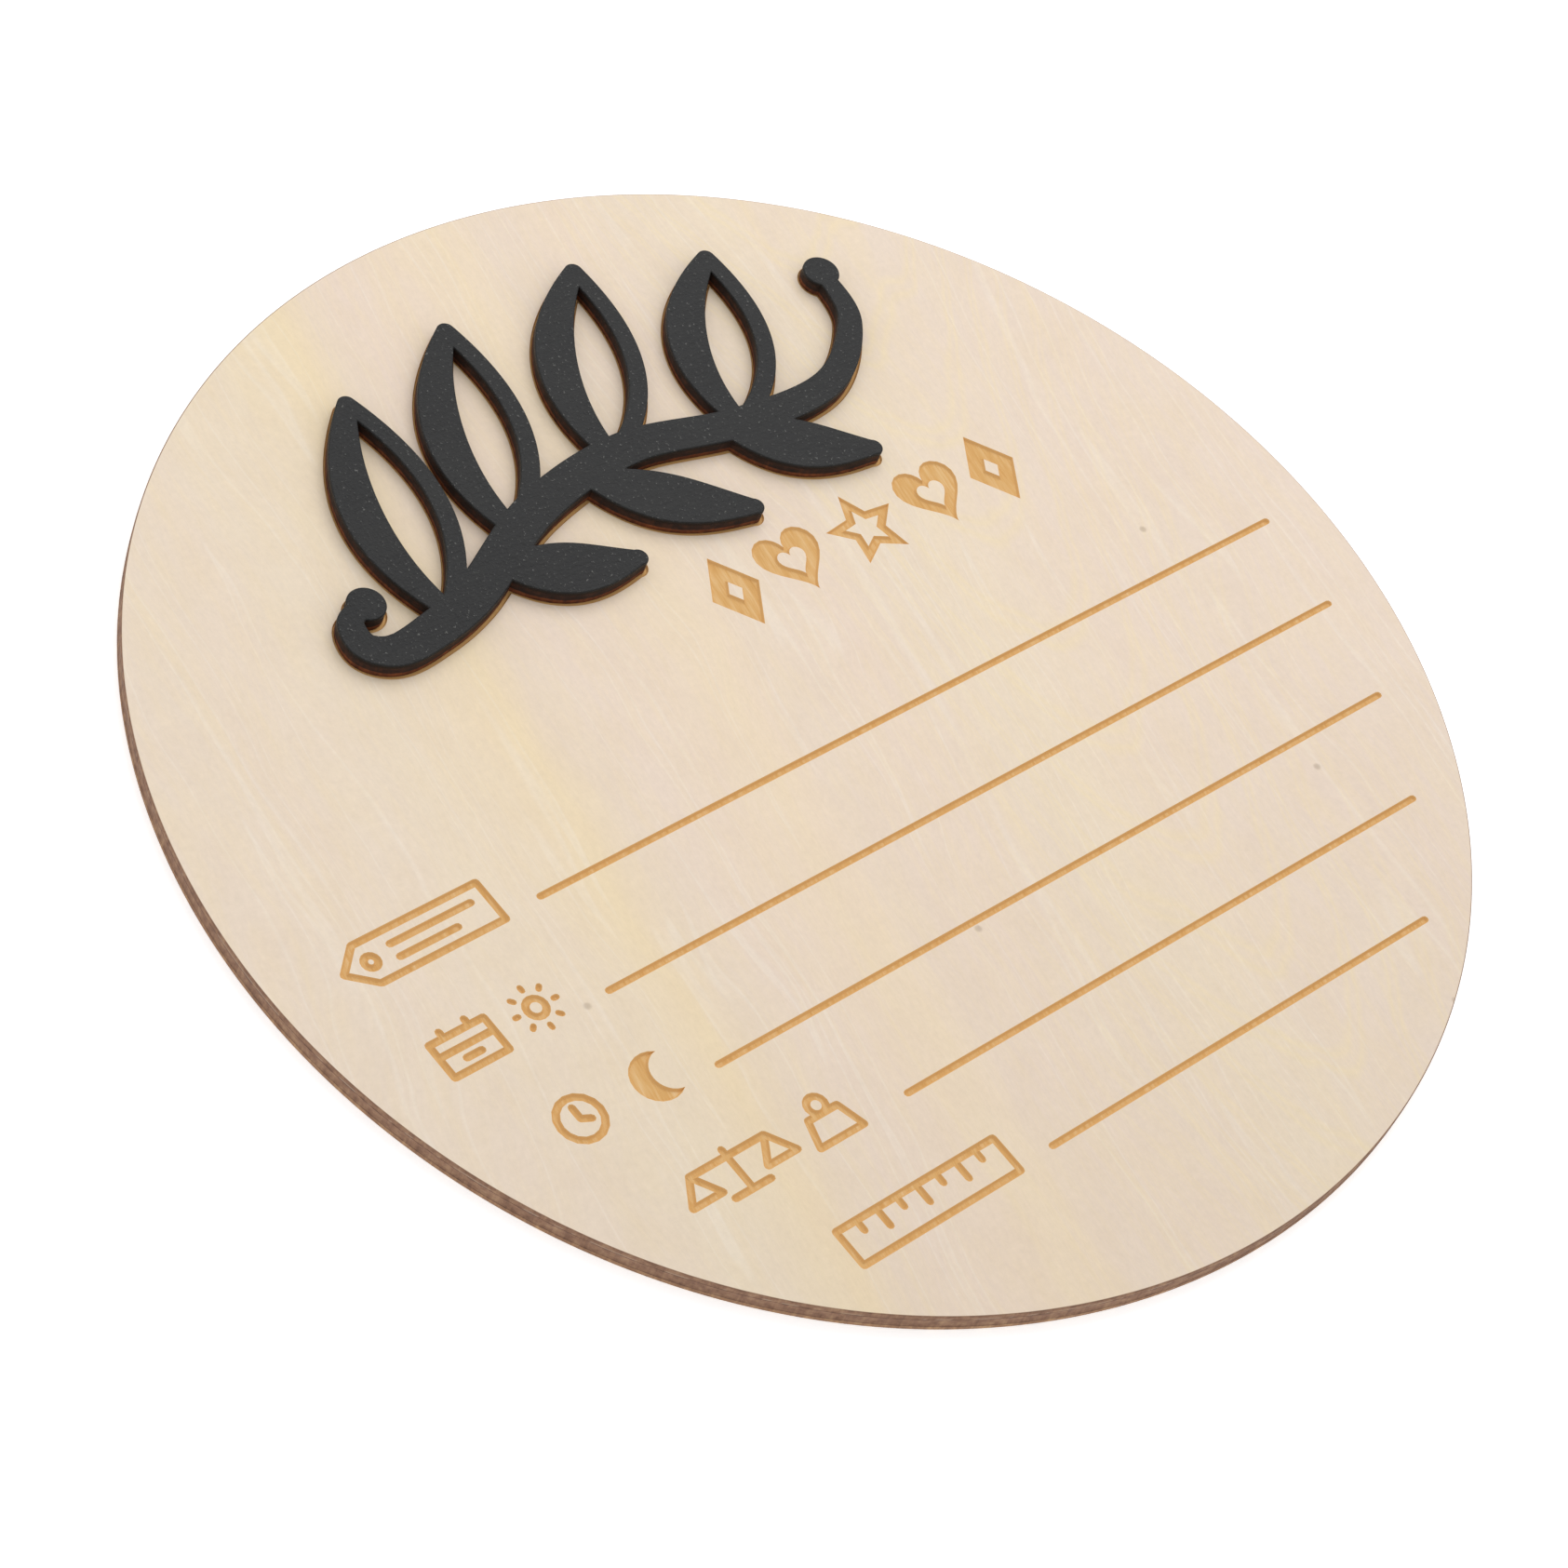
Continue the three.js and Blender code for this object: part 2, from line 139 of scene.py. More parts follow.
def thinned(points, edges, least):
    """The border with its edges shorter than least closed up, three times over."""
    for _ in range(3):
        length = np.linalg.norm(points[edges[:, 1]] - points[edges[:, 0]], axis=1)
        short = edges[length < least]
        kept = np.arange(len(points))
        kept[short.min(axis=1)] = short.max(axis=1)
        edges = kept[edges]
        edges = edges[edges[:, 0] != edges[:, 1]]
    return only_used(points, edges)


def joined(outlines):
    """The border of several closed outlines laid over each other."""
    ends = np.cumsum([len(outline) for outline in outlines])
    loops = [list(range(end - len(outline), end)) for outline, end in zip(outlines, ends)]
    no_edges = np.zeros((0, 2), int)
    points, _, triangles, holders = triangulate(np.concatenate(outlines), no_edges, loops)
    return thinned(*only_used(points, border(triangles[holders > 0])), SHORTEST_EDGE)


# %% Fill a border, and move it inwards
SPOTS_AT_ONCE = 500  # keeps the table of spots by edges small
SHARPEST_MITRE = 0.8  # least squared length of two summed normals: a sharper tip is cut short


def within(spots, points, edges):
    """True for spots from which a line to the right crosses the border an odd number of times."""
    start, end = points[edges[:, 0]], points[edges[:, 1]]
    inside = np.zeros(len(spots), bool)
    for part in np.array_split(np.arange(len(spots)), len(spots) // SPOTS_AT_ONCE + 1):
        x, y = spots[part, 0, None], spots[part, 1, None]
        crossed = (start[:, 1] > y) != (end[:, 1] > y)
        rise = np.where(crossed, end[:, 1] - start[:, 1], 1)
        cross_x = start[:, 0] + (end[:, 0] - start[:, 0]) * (y - start[:, 1]) / rise
        inside[part] = (crossed & (x < cross_x)).sum(axis=1) % 2 == 1
    return inside


def filled(points, edges):
    """Triangles that fill a border, on its own points."""
    new_points, old, triangles, _ = triangulate(points, edges, [])
    middles = new_points[triangles].mean(axis=1)
    return old[triangles[within(middles, points, edges)]]


def inset(points, edges, amount):
    """The points moved inwards by an amount: along the mitre of the two edges that meet there."""
    along = points[edges[:, 1]] - points[edges[:, 0]]
    along /= np.linalg.norm(along, axis=1, keepdims=True)
    left = np.stack([-along[:, 1], along[:, 0]], axis=1)
    total = np.zeros_like(points)
    np.add.at(total, edges[:, 0], left)
    np.add.at(total, edges[:, 1], left)
    square = np.maximum((total ** 2).sum(axis=1, keepdims=True), SHARPEST_MITRE)
    return points + amount * 2 * total / square


unit_square = np.array([(0, 0), (1, 0), (1, 1), (0, 1)], float)
its_edges = np.array([(0, 1), (1, 2), (2, 3), (3, 0)])
print("a square takes", len(filled(unit_square, its_edges)), "triangles")
print("moved in by a quarter, its first corner is at", inset(unit_square, its_edges, 0.25)[0])

# %% [markdown]
# ## A sheet from its outline
# A sheet's edge is a profile carried along its outline. The profile is a short list of rows, each
# with how far it lies inside the outline, how high it is, and how scorched the wood is there. Two
# flat lids close it. The same wall, with its rows going down instead of up, cuts a groove, and a
# lid at its foot is the groove's floor. The patches are made apart and then welded.

# %% Wall and lid
PLAIN, CUT, RIM = 0, 1, 2  # material slots: the flat sides, what is cut, the face's own rim


def wall(points, edges, rows, slot=CUT):
    """Row k is the outline moved in by rows[k][0], at height rows[k][1]. Quads join row to row."""
    rows = np.asarray(rows, float)
    rings = [np.c_[inset(points, edges, depth), np.full(len(points), height)]
             for depth, height, _ in rows]
    first = np.arange(len(rows) - 1)[:, None, None] * len(points)
    quad = np.concatenate([edges, edges[:, ::-1] + len(points)], axis=1)
    quads = (first + quad[None]).reshape(-1, 4)
    return np.concatenate(rings), quads, np.repeat(rows[:, 2], len(points)), slot


def lid(points, triangles, height, scorch=0.0, slot=PLAIN, down=False):
    """Flat triangles at one height, facing up or down."""
    if down:
        triangles = triangles[:, ::-1]
    placed = np.c_[points, np.full(len(points), height)]
    return placed, triangles, np.full(len(points), scorch), slot


# %% Weld
WELD_DISTANCE = 0.0002  # mm
CREASE = math.radians(40)  # a wall's rows that meet at more than this show an edge


def weld(name, patches):
    """One closed mesh from patches, in metres, with the scorch of each point as an attribute."""
    points = np.concatenate([patch[0] for patch in patches]) * MM
    scorch = np.concatenate([patch[2] for patch in patches])
    firsts = np.cumsum([0] + [len(patch[0]) for patch in patches])
    faces, slots, rounded = [], [], []
    for (_, corners, _, slot), first in zip(patches, firsts):
        faces += (corners + first).tolist()
        slots += [slot] * len(corners)
        rounded += [corners.shape[1] == 4] * len(corners)  # walls are quads and shade round
    mesh = bpy.data.meshes.new(name)
    mesh.from_pydata(points.tolist(), [], faces)
    mesh.attributes.new("scorch", "FLOAT", "POINT").data.foreach_set("value", scorch)
    mesh.polygons.foreach_set("material_index", slots)
    mesh.polygons.foreach_set("use_smooth", rounded)
    shape = bmesh.new()
    shape.from_mesh(mesh)
    bmesh.ops.remove_doubles(shape, verts=shape.verts, dist=WELD_DISTANCE * MM)
    open_edges = sum(not edge.is_manifold for edge in shape.edges)
    shape.to_mesh(mesh)
    shape.free()
    still_rounded = np.zeros(len(mesh.polygons), bool)
    mesh.polygons.foreach_get("use_smooth", still_rounded)
    mesh.set_sharp_from_angle(angle=CREASE)  # makes every face smooth, so lids are set again
    mesh.polygons.foreach_set("use_smooth", still_rounded)
    mesh.update()
    piece = bpy.data.objects.new(name, mesh)
    scene.collection.objects.link(piece)
    print(name, len(mesh.polygons), "faces,", open_edges, "open edges")
    return piece


# %% [markdown]
# ## The engraving
# The pictures, motifs and ruled lines are burned 0.3 mm deep. The CAD sheet already has them as
# sharp-edged pockets, so their outlines are read off a merged copy of its mesh: they are the border
# of its top plane. The round rim and the seat of the sprig are left out, because both are worked
# out again below with finer steps than the CAD takes.

# %% Outlines of the engraving
TOP_TOLERANCE = 0.01  # mm: a corner this near the highest one is on the top
RIM_MARGIN = 0.5  # mm inside the rim that still counts as rim
SEAT_MARGIN = 1  # mm below the sprig that still counts as its seat


def cad_top_border(node_name):
    """Border of the triangles of a CAD node whose corners all lie on its top, in millimetres."""
    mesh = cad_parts[node_name].data
    points = np.zeros(len(mesh.vertices) * 3)
    mesh.vertices.foreach_get("co", points)
    mesh.calc_loop_triangles()
    corners = np.zeros(len(mesh.loop_triangles) * 3, int)
    mesh.loop_triangles.foreach_get("vertices", corners)
    points, numbers = np.unique((points.reshape(-1, 3) / MM).round(3), axis=0, return_inverse=True)
    triangles = numbers.reshape(-1)[corners].reshape(-1, 3)
    on_top = (points[triangles][:, :, 2] > points[:, 2].max() - TOP_TOLERANCE).all(axis=1)
    return only_used(points[:, :2], border(triangles[on_top]))


points, edges = cad_top_border("disc_face_veneer")
is_rim = np.hypot(points[:, 0], points[:, 1]) > disc_radius / MM - RIM_MARGIN
is_seat = points[:, 1] > sprig_low.y / MM - SEAT_MARGIN
engraved = edges[~(is_rim | is_seat)[edges].any(axis=1)]
engraving_points, engraving_edges = thinned(points, engraved[:, ::-1], SHORTEST_EDGE)
print("engraving:", len(engraving_points), "points, from", engraving_points.min(axis=0).round(1),
      "to", engraving_points.max(axis=0).round(1))

# %% [markdown]
# ## The sprig's outline
# The sprig is drawn like penmanship: a round pen runs along a curve and presses harder in the
# middle, so a stroke's width grows from its ends as half a sine wave. These are the strokes of the
# CAD part, taken in much finer steps. The same strokes drawn a little wider give the seat, and a
# little thinner the film of glue under the sprig.

# %% Strokes
SPRIG_WIDTH = 86
SPRIG_HEIGHT = 39
THIN_STROKE = 2.2
THICK_STROKE = 4.8
BERRY_DIAMETER = 4.4
BERRY_STEPS = 48
CAP_STEPS = 14

sprig_reach = np.array([SPRIG_WIDTH - THIN_STROKE, SPRIG_HEIGHT - THIN_STROKE]) / 2
print("the pen's middle reaches", sprig_reach, "mm from the middle of the sprig")


def stroke(path, end_width, middle_width, grow):
    """Outline of path + side * half-width, with half a circle of that radius round either end."""
    u = np.linspace(0, 1, len(path))
    half = (end_width + (middle_width - end_width) * np.sin(math.pi * u)) / 2 + grow
    along = np.gradient(path, axis=0, edge_order=2)
    along /= np.linalg.norm(along, axis=1, keepdims=True)
    side = np.stack([-along[:, 1], along[:, 0]], axis=1)
    turn = np.linspace(0, math.pi, CAP_STEPS + 1)[1:-1, None]
    start = path[0] - half[0] * (np.cos(turn) * side[0] + np.sin(turn) * along[0])
    end = path[-1] + half[-1] * (np.cos(turn) * side[-1] + np.sin(turn) * along[-1])
    left = path + side * half[:, None]
    right = path - side * half[:, None]
    return np.concatenate([left, end, right[::-1], start])[::-1]


def berry(centre, grow):
    """A circle round a point, made wider by grow all round."""
    turn = np.linspace(0, 2 * math.pi, BERRY_STEPS, endpoint=False)
    return centre + (BERRY_DIAMETER / 2 + grow) * np.stack([np.cos(turn), np.sin(turn)], axis=1)


# %% Curves that the pen follows
LEAF_STEPS = 60
BELLY = 0.46  # share of a leaf's length at which its side is pulled out


def through(knots, steps):
    """A curve through all the knots, whose slope at each is half the way between its neighbours."""
    knots = np.concatenate([knots[:1], knots, knots[-1:]])
    place = np.linspace(0, len(knots) - 3, steps + 1)
    first = np.minimum(place.astype(int), len(knots) - 4)
    t = (place - first)[:, None]
    before, start, end, after = (knots[first + k] for k in range(4))
    slope_in, slope_out = (end - before) / 2, (after - start) / 2
    return ((2 * t**3 - 3 * t**2 + 1) * start + (t**3 - 2 * t**2 + t) * slope_in
            + (3 * t**2 - 2 * t**3) * end + (t**3 - t**2) * slope_out)


def leaf_side(foot, tip, bow):
    """A parabola from foot to tip, pulled towards a point bow to the left of the belly."""
    foot, tip = np.array(foot) * sprig_reach, np.array(tip) * sprig_reach
    along = (tip - foot) / np.linalg.norm(tip - foot)
    pull = foot + (tip - foot) * BELLY + bow * np.array([-along[1], along[0]])
    u = np.linspace(0, 1, LEAF_STEPS + 1)[:, None]
    return (1 - u) ** 2 * foot + 2 * u * (1 - u) * pull + u**2 * tip


# %% The sprig's strokes together
STEM_STEPS = 180
THICK_SIDE_BOW = 8.6  # mm to the left of the leaf, looking from foot to tip
THIN_SIDE_BOW = -9.6
SMALL_LEAF_BOW = -2
SMALL_LEAF_WIDTH = 7

# Feet, tips and knots are shares of the sprig's reach from its middle.
STEM = [(-0.9, -0.51), (-0.97, -0.57), (-0.985, -0.745), (-0.925, -0.86), (-0.81, -0.85),
        (-0.62, -0.74), (-0.3, -0.4), (0.05, -0.28), (0.4, -0.44), (0.72, -0.44),
        (0.93, -0.1), (0.973, 0.3)]
OPEN_LEAVES = [((-0.72, -0.78), (-0.54, 0.76)), ((-0.4, -0.48), (-0.14, 0.96)),
               ((0, -0.3), (0.32, 1)), ((0.4, -0.44), (0.7, 0.72))]
SMALL_LEAVES = [((-0.52, -0.62), (-0.16, -0.98)), ((-0.12, -0.32), (0.24, -1)),
                ((0.34, -0.4), (0.68, -0.98))]


def sprig_outline(grow=0.0):
    """Border of all the sprig's strokes, each made wider by grow all round."""
    stem = through(np.array(STEM) * sprig_reach, STEM_STEPS)
    outlines = [
        stroke(stem, THIN_STROKE, THICK_STROKE, grow),
        berry(stem[0], grow),
        berry(stem[-1], grow),
    ]
    for foot, tip in OPEN_LEAVES:
        thick_side = leaf_side(foot, tip, THICK_SIDE_BOW)
        thin_side = leaf_side(foot, tip, THIN_SIDE_BOW)
        outlines.append(stroke(thick_side, THIN_STROKE, THICK_STROKE, grow))
        outlines.append(stroke(thin_side, THIN_STROKE, THIN_STROKE, grow))
    for foot, tip in SMALL_LEAVES:
        side = leaf_side(foot, tip, SMALL_LEAF_BOW)
        outlines.append(stroke(side, THIN_STROKE, SMALL_LEAF_WIDTH, grow))
    return joined(outlines)


# %% The sprig, its seat and its glue
SEAT_CLEARANCE = 0.3  # how much wider the seat is than the sprig, all round
SEAT_SHIFT = -0.15  # the sprig isn't quite in the middle of its seat
GLUE_INSET = 0.3  # how much narrower the film of glue is

sprig_points, sprig_edges = sprig_outline()
cad_middle = np.array([(sprig_low.x + sprig_high.x) / 2, (sprig_low.y + sprig_high.y) / 2]) / MM
place = cad_middle - (sprig_points.min(axis=0) + sprig_points.max(axis=0)) / 2
sprig_points = sprig_points + place
seat_points, seat_edges = sprig_outline(SEAT_CLEARANCE)
seat_points = seat_points + place + (0, SEAT_SHIFT)
glue_points, glue_edges = sprig_outline(-GLUE_INSET)
glue_points = glue_points + place
print("sprig outline:", len(sprig_points), "points,", np.ptp(sprig_points, axis=0).round(2), "mm")

# %% [markdown]
# ## The face veneer
# The top sheet carries everything that is engraved. Its rim is barely rounded by sanding. A burned
# groove has no sharp corners: the beam rounds the lip a little and leaves a small fillet of char at
# the foot of the wall, and that is why the wall has six rows and not two.

# %% Profiles of the cuts in the face
RIM_STEPS = 720

# Rows of inset and depth in millimetres, and of scorch. The wall round the sprig's seat is steeper.
GROOVE = [(0, 0, 0.5), (0.03, 0.02, 0.8), (0.08, 0.09, 1), (0.13, 0.18, 1), (0.18, 0.26, 0.8),
          (0.26, 0.3, 0)]
SEAT_WALL = [(0, 0, 0.5), (0.02, 0.015, 0.8), (0.05, 0.1, 1), (0.09, 0.2, 1), (0.13, 0.27, 0.8),
             (0.2, 0.3, 0.55)]


def circle(radius):
    """Points round a circle, and the edges from each to the next."""
    turn = np.linspace(0, 2 * math.pi, RIM_STEPS, endpoint=False)
    numbers = np.arange(RIM_STEPS)
    points = radius * np.stack([np.cos(turn), np.sin(turn)], axis=1)
    return points, np.stack([numbers, np.roll(numbers, -1)], axis=1)


def together(*borders):
    """Several borders as one."""
    firsts = np.cumsum([0] + [len(points) for points, _ in borders])
    edges = [edges + first for (_, edges), first in zip(borders, firsts)]
    return np.concatenate([points for points, _ in borders]), np.concatenate(edges)


def cut_into(points, edges, top, profile):
    """The wall and the floor of a pocket, whose lip is the outline at a height."""
    rows = [(into, top - depth, scorch) for into, depth, scorch in profile]
    foot = inset(points, edges, rows[-1][0])
    return wall(points, edges, rows), lid(foot, filled(points, edges), *rows[-1][1:], CUT)


# %% Face veneer
top = face_top / MM
bottom = face_low.z / MM
rim_points, rim_edges = circle(disc_radius / MM)
rim_rows = [(0, bottom, 1), (0, top - 0.13, 1), (0.015, top - 0.06, 1), (0.045, top - 0.02, 0.9),
            (0.09, top - 0.005, 0.6), (0.14, top, 0)]
plane = together(
    (inset(rim_points, rim_edges, rim_rows[-1][0]), rim_edges),
    (engraving_points, engraving_edges),
    (seat_points, seat_edges),
)
face_veneer = weld("engraved_face_veneer", [
    wall(rim_points, rim_edges, rim_rows, RIM),
    lid(rim_points, filled(rim_points, rim_edges), bottom, 0.5, down=True),
    lid(plane[0], filled(*plane), top),
    *cut_into(engraving_points, engraving_edges, top, GROOVE),
    *cut_into(seat_points, seat_edges, top, SEAT_WALL),
])

# %% [markdown]
# ## The sheets below it
# Under the face lie a glue line, a thick core veneer, a second glue line and the back veneer. The
# beam doesn't cut them alike: the softer core burns back a little further than the glue, and the
# glue lines stand out as thin ridges. Each sheet has its own profile, so the layers show in the
# shape of the edge and not only in its colour.

# %% One sheet
def heights(node_name):
    """The lowest and highest point of a CAD node, in millimetres."""
    low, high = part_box(node_name)
    return low.z / MM, high.z / MM


def burned_sheet(name, node_name, outline, profile):
    """A sheet whose edge has rows of inset, share of the way up, and scorch."""
    low, high = heights(node_name)
    points, edges = outline
    rows = [(depth, low + (high - low) * up, scorch) for depth, up, scorch in profile]
    triangles = filled(points, edges)
    return weld(name, [
        wall(points, edges, rows),
        lid(inset(points, edges, rows[0][0]), triangles, low, rows[0][2], down=True),
        lid(inset(points, edges, rows[-1][0]), triangles, high, rows[-1][2]),
    ])


# %% The disc's sheets
rim = (rim_points, rim_edges)
CORE_PROFILE = [(0, 0, 1), (0.04, 0.06, 1), (0.06, 0.3, 1), (0.05, 0.7, 1), (0.03, 0.94, 1),
                (0, 1, 1)]
LINE_PROFILE = [(0, 0, 1), (-0.02, 0.5, 1), (0, 1, 1)]
BACK_PROFILE = [(0.9, 0, 0), (0.3, 0, 0.25), (0.1, 0.02, 0.55), (0.03, 0.08, 0.9), (0, 0.2, 1),
                (0, 1, 1)]
core = burned_sheet("charred_core_veneer", "disc_core_veneer", rim, CORE_PROFILE)
upper_line = burned_sheet("charred_upper_glue_line", "disc_upper_glue_line", rim, LINE_PROFILE)
lower_line = burned_sheet("charred_lower_glue_line", "disc_lower_glue_line", rim, LINE_PROFILE)
back_veneer = burned_sheet("plain_back_veneer", "disc_back_veneer", rim, BACK_PROFILE)

# %% [markdown]
# ## The sprig's sheets
# The sprig was cut from its own board and sprayed black from above. The paint has rolled over the
# edge and hides the lip, while the wall under it keeps the brown of the burned wood. The top sheet
# gets a round shoulder for that, 0.15 mm wide and 0.11 mm deep, and the sheets below it step in and
# out by a few hundredths, as on the disc.

# %% Sprig sheets
sprig = (sprig_points, sprig_edges)
SHOULDER = [(0.03, 0, 1), (0, 0.12, 1), (0, 0.5, 0.8), (0.01, 0.78, 0.4), (0.04, 0.9, 0),
            (0.09, 0.975, 0), (0.15, 1, 0)]
SPRIG_CORE = [(0.03, 0, 1), (0.05, 0.3, 1), (0.045, 0.7, 1), (0.03, 1, 1)]
SPRIG_BACK = [(0.08, 0, 1), (0.03, 0.1, 1), (0.02, 0.6, 1), (0.03, 1, 1)]
SPRIG_LINE = [(0.03, 0, 1), (0.015, 0.5, 1), (0.03, 1, 1)]
GLUE_FILM = [(0.05, 0, 0), (0, 0.5, 0), (0.05, 1, 0)]
sprig_face = burned_sheet("painted_sprig_face", "sprig_face_veneer", sprig, SHOULDER)
sprig_core = burned_sheet("charred_sprig_core", "sprig_core_veneer", sprig, SPRIG_CORE)
sprig_back = burned_sheet("charred_sprig_back", "sprig_back_veneer", sprig, SPRIG_BACK)
sprig_upper = burned_sheet("charred_sprig_upper_line", "sprig_upper_glue_line", sprig, SPRIG_LINE)
sprig_lower = burned_sheet("charred_sprig_lower_line", "sprig_lower_glue_line", sprig, SPRIG_LINE)
glue_film = burned_sheet("glue_film", "sprig_adhesive", (glue_points, glue_edges), GLUE_FILM)

# %% [markdown]
# ## Materials
# A procedural material is a small network of nodes. One function turns a hex colour into the linear
# light that the shader works in, and one adds a node with its settings and its links. Patterns read
# Object coordinates, which are in metres, through a Mapping node that turns them into the
# millimetres of the wood.

# %% Colours and nodes
def linear(colour):
    """An sRGB hex colour as linear red, green, blue and an alpha of one."""
    parts = np.array([int(colour[k:k + 2], 16) / 255 for k in (1, 3, 5)])
    light = np.where(parts <= 0.04045, parts / 12.92, ((parts + 0.055) / 1.055) ** 2.4)
    return (*light.tolist(), 1.0)


def add(tree, kind, inputs=None, **settings):
    """A node of a kind with its settings, and its inputs set to values or linked to sockets."""
    made = tree.nodes.new("ShaderNode" + kind)
    for name, value in settings.items():
        setattr(made, name, value)
    for name, value in (inputs or {}).items():
        socket = made.inputs[name]
        if isinstance(value, bpy.types.NodeSocket):
            tree.links.new(value, socket)
        else:
            socket.default_value = value
    return made


def ramp(tree, factor, stops):
    """Colours or greys along a factor from 0 to 1."""
    made = add(tree, "ValToRGB", {"Fac": factor})
    while len(made.color_ramp.elements) < len(stops):
        made.color_ramp.elements.new(0.5)
    for element, (position, value) in zip(made.color_ramp.elements, stops):
        element.position = position
        element.color = linear(value) if isinstance(value, str) else (value, value, value, 1)
    return made.outputs[0]


# %% Sums, blends and the shader
def math_of(tree, operation, *values, clamp=False):
    """One sum on sockets and numbers."""
    inputs = dict(enumerate(values))
    return add(tree, "Math", inputs, operation=operation, use_clamp=clamp).outputs[0]


def blended(tree, factor, first, second, mode="MIX"):
    """Two colours mixed, or one laid over the other in another mode."""
    made = add(tree, "Mix", {0: factor}, data_type="RGBA", blend_type=mode)
    for number, value in ((6, first), (7, second)):
        if isinstance(value, bpy.types.NodeSocket):
            tree.links.new(value, made.inputs[number])
        else:
            made.inputs[number].default_value = value
    return made.outputs[2]


def shader(name, roughness, ior=1.5, **constants):
    """A new material's node tree and its shader, with the constants on the shader's own sockets."""
    material = bpy.data.materials.new(name)
    material.use_nodes = True
    tree = material.node_tree
    surface = tree.nodes["Principled BSDF"]
    surface.inputs["Roughness"].default_value = roughness
    surface.inputs["IOR"].default_value = ior
    for socket, value in constants.items():
        surface.inputs[socket.replace("_", " ")].default_value = value
    return material, tree, surface


def told(material):
    """The finished material, after a line that says how many nodes it has."""
    print(material.name, "has", len(material.node_tree.nodes), "nodes")
    return material


# %% [markdown]
# ## Basswood veneer
# The face is a sheet peeled from basswood, sanded and left bare. It is pale and close-grained, so
# what the eye gets is soft: broad bands between pinkish cream and butter yellow where the knife
# crossed the years' growth, a tongue of curved growth lines where it ran flat to them, very fine
# fibres along the grain, and now and then a dark fleck. The grain leans a little to the right.

# %% Wood coordinates
GRAIN_LEAN = math.radians(11)
PAINT_LEAN = math.radians(96)  # the sprig's board lay nearly crosswise
DEPTH_RATE = 8  # depth counts this many times over, so that a groove's floor has its own figure


def wood_place(tree, lean=GRAIN_LEAN):
    """Object coordinates in millimetres, turned so that x runs across the grain and y along it."""
    place = add(tree, "TexCoord").outputs["Object"]
    turned = add(tree, "Mapping", {"Vector": place, "Rotation": (0, 0, lean)}).outputs[0]
    scale = (1 / MM, 1 / MM, DEPTH_RATE / MM)
    return add(tree, "Mapping", {"Vector": turned, "Scale": scale}).outputs[0]


def grain(tree, place, across, along, detail=2.0, roughness=0.5, shift=0.0):
    """Noise from 0 to 1 whose blobs are so many millimetres across and along the grain."""
    scale, moved = (1 / across, 1 / along, 1 / along), (shift, 2 * shift, 0)
    space = add(tree, "Mapping", {"Vector": place, "Scale": scale, "Location": moved})
    noise = {"Vector": space.outputs[0], "Scale": 1.0, "Detail": detail, "Roughness": roughness}
    return add(tree, "TexNoise", noise).outputs["Fac"]


def swing(tree, factor, size):
    """A factor from 0 to 1 as a swing of that size to either side of nought."""
    return math_of(tree, "MULTIPLY", math_of(tree, "SUBTRACT", factor, 0.5), 2 * size)


def scorch_of(tree):
    """The piece's own scorch attribute."""
    return add(tree, "Attribute", attribute_name="scorch").outputs["Fac"]


# %% Bands and curved growth lines
BAND_SPAN = 160.0  # mm across the grain that the row of bands covers
BANDS = [
    (0.000, "#ECDBC8"), (0.160, "#EDDCC7"), (0.245, "#EEDDC3"), (0.288, "#F1DDB9"),
    (0.312, "#ECDAC4"), (0.350, "#EDDAC8"), (0.400, "#EEDBC5"), (0.435, "#F0DDC1"),
    (0.455, "#F0DDC4"), (0.475, "#ECDAC6"), (0.540, "#EDDAC7"), (0.600, "#ECDBC6"),
    (0.660, "#EEDDC5"), (0.720, "#EDDBC7"), (0.780, "#ECDAC8"), (0.860, "#EBD9C7"),
    (1.000, "#EDDBCB"),
]
TONGUE_TIP = (34.0, -19.0)  # mm across and along the grain
TONGUE_WIDTH = 7.0  # mm: the growth lines are parabolas u * u / width
TONGUE_REACH = 40.0  # mm to either side of the axis
RING_TURN = 0.42  # radians to the millimetre, so the lines are 15 mm apart along the axis


def growth_tongue(tree, across, along, waver):
    """Nested curved growth lines: a sine of v less u squared over a width, strongest near u = 0."""
    aside = math_of(tree, "SUBTRACT", across, TONGUE_TIP[0])
    curve = math_of(tree, "DIVIDE", math_of(tree, "MULTIPLY", aside, aside), TONGUE_WIDTH)
    nest = math_of(tree, "SUBTRACT", math_of(tree, "SUBTRACT", along, TONGUE_TIP[1]), curve)
    turned = math_of(tree, "MULTIPLY", math_of(tree, "ADD", nest, waver), RING_TURN)
    rings = math_of(tree, "SINE", turned)
    line = ramp(tree, math_of(tree, "ADD", math_of(tree, "MULTIPLY", rings, 0.5), 0.5),
                [(0.0, 0.0), (0.72, 0.0), (0.94, 1.0), (1.0, 0.2)])
    near = ramp(tree, math_of(tree, "DIVIDE", math_of(tree, "ABSOLUTE", aside), TONGUE_REACH),
                [(0.0, 1.0), (0.45, 0.75), (1.0, 0.0)])
    return math_of(tree, "MULTIPLY", line, near)


def overlaid(tree, colour, mask, stops, amount, tint):
    """A tint laid over a colour where a mask, put through a ramp, says, to a greatest amount."""
    where = math_of(tree, "MULTIPLY", ramp(tree, mask, stops), amount)
    return blended(tree, where, colour, linear(tint))


